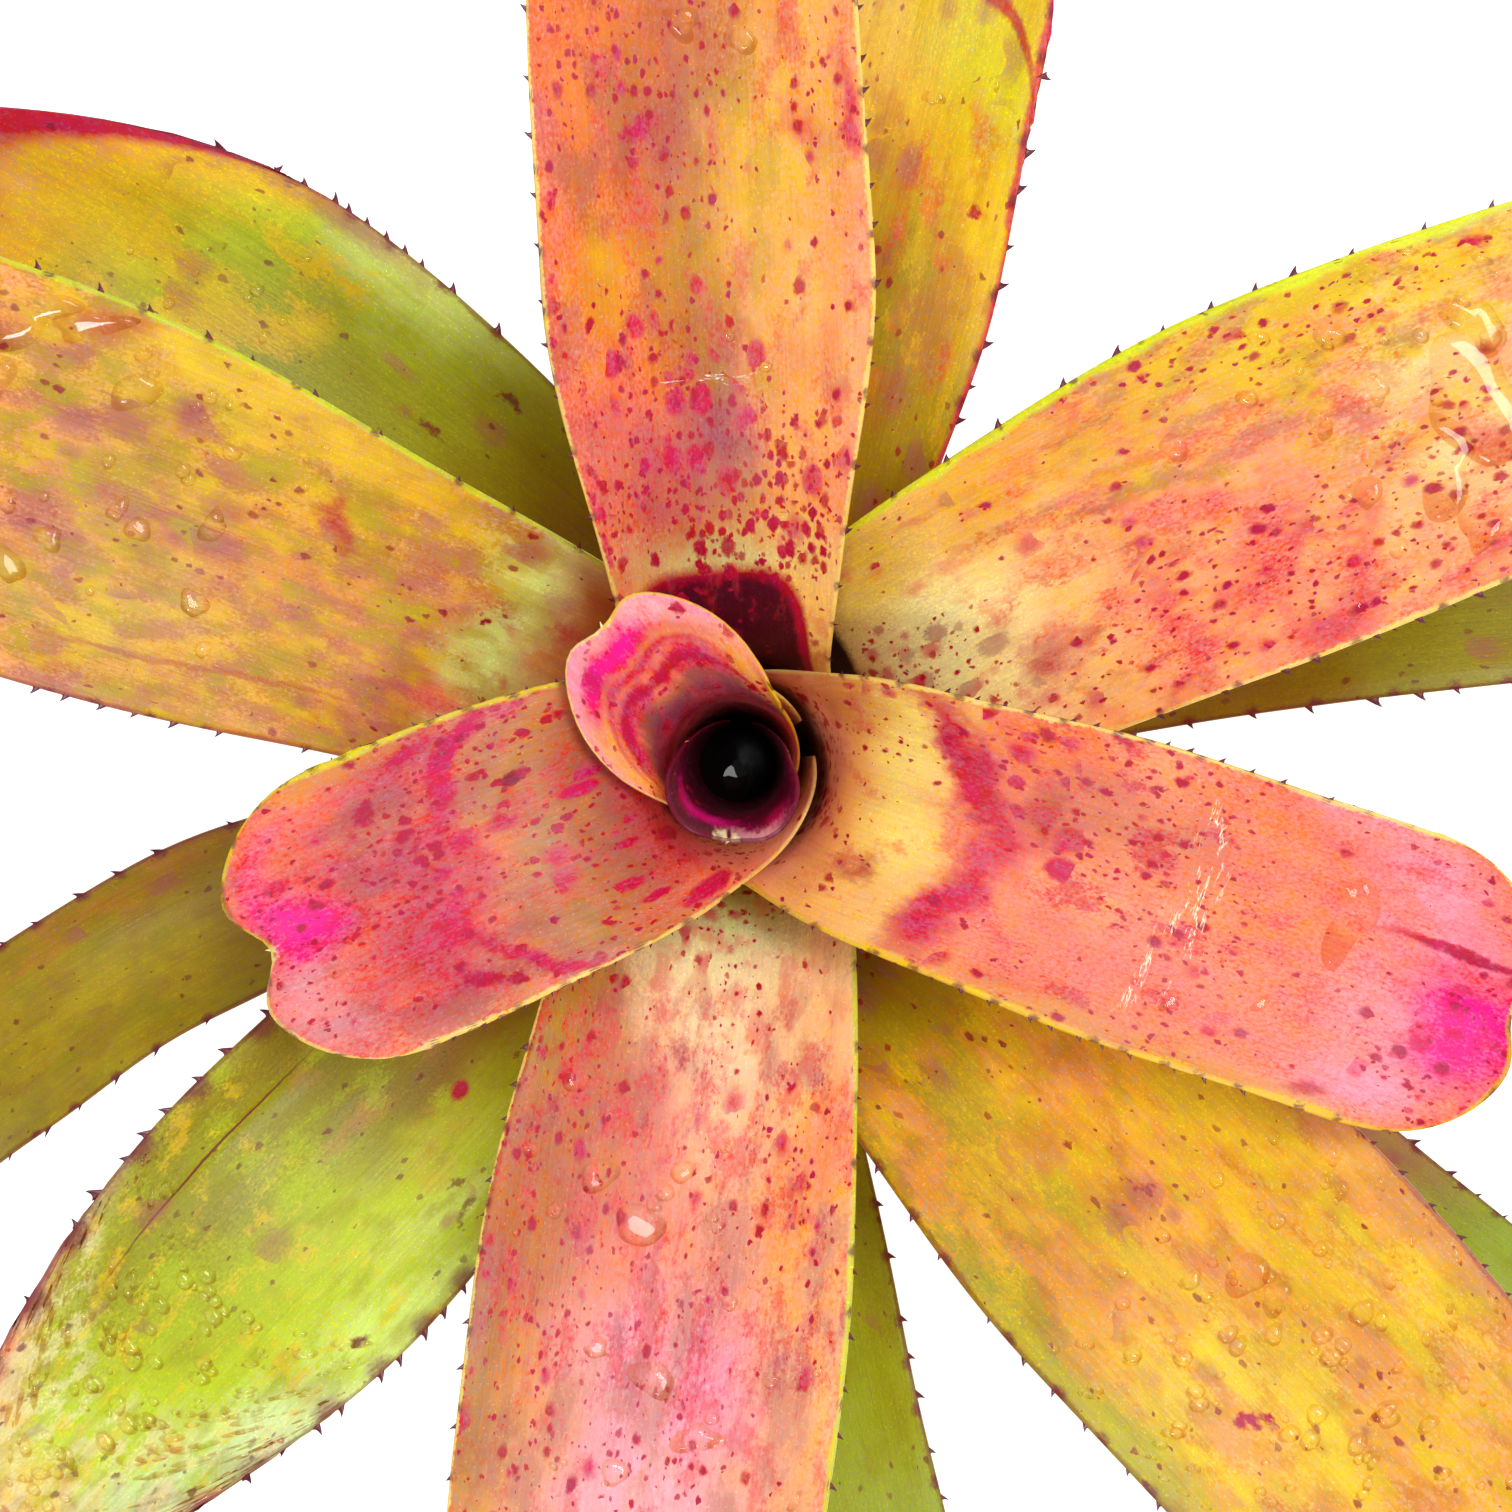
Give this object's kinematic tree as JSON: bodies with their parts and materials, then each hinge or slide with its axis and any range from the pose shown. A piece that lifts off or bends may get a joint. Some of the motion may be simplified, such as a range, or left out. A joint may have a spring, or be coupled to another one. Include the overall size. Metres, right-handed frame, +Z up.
{
  "type": "neoregelia bromeliad",
  "caption": "Bare-rooted rosette bromeliad: spined strap leaves whose sheaths nest round a short stem and form a water-holding cup.",
  "frame": {"origin": "centre of the stem's flat cut, which stands on the surface", "axes": "+Z up along the plant's axis, out of the cup; +X and +Y span the rosette, and the youngest open leaf points towards -X"},
  "size_m": [0.3418, 0.3, 0.1646],
  "materials": {
    "inner_leaf": "coral, peach and magenta leaf skin with crimson spots, waxy half-gloss",
    "middle_leaf": "ochre, peach and lime leaf skin with crimson patches, waxy half-gloss",
    "outer_leaf": "lime to olive leaf skin with maroon spots and margins, waxy half-gloss",
    "stem": "dry brown bark with old leaf scars, matt",
    "water": "clear still water with a smooth surface"
  },
  "bodies": {
    "root": {"stem": "stem", "cup_water": "water", "leaf_01": "inner_leaf", "leaf_02": "inner_leaf", "leaf_03": "inner_leaf", "leaf_04": "inner_leaf", "leaf_05": "inner_leaf", "leaf_06": "middle_leaf", "leaf_07": "middle_leaf", "leaf_08": "middle_leaf", "leaf_09": "middle_leaf", "leaf_10": "outer_leaf", "leaf_11": "outer_leaf", "leaf_12": "outer_leaf", "leaf_13": "outer_leaf", "leaf_14": "outer_leaf", "leaf_15": "outer_leaf", "leaf_16": "outer_leaf", "leaf_17": "outer_leaf"}
  },
  "joints": []
}
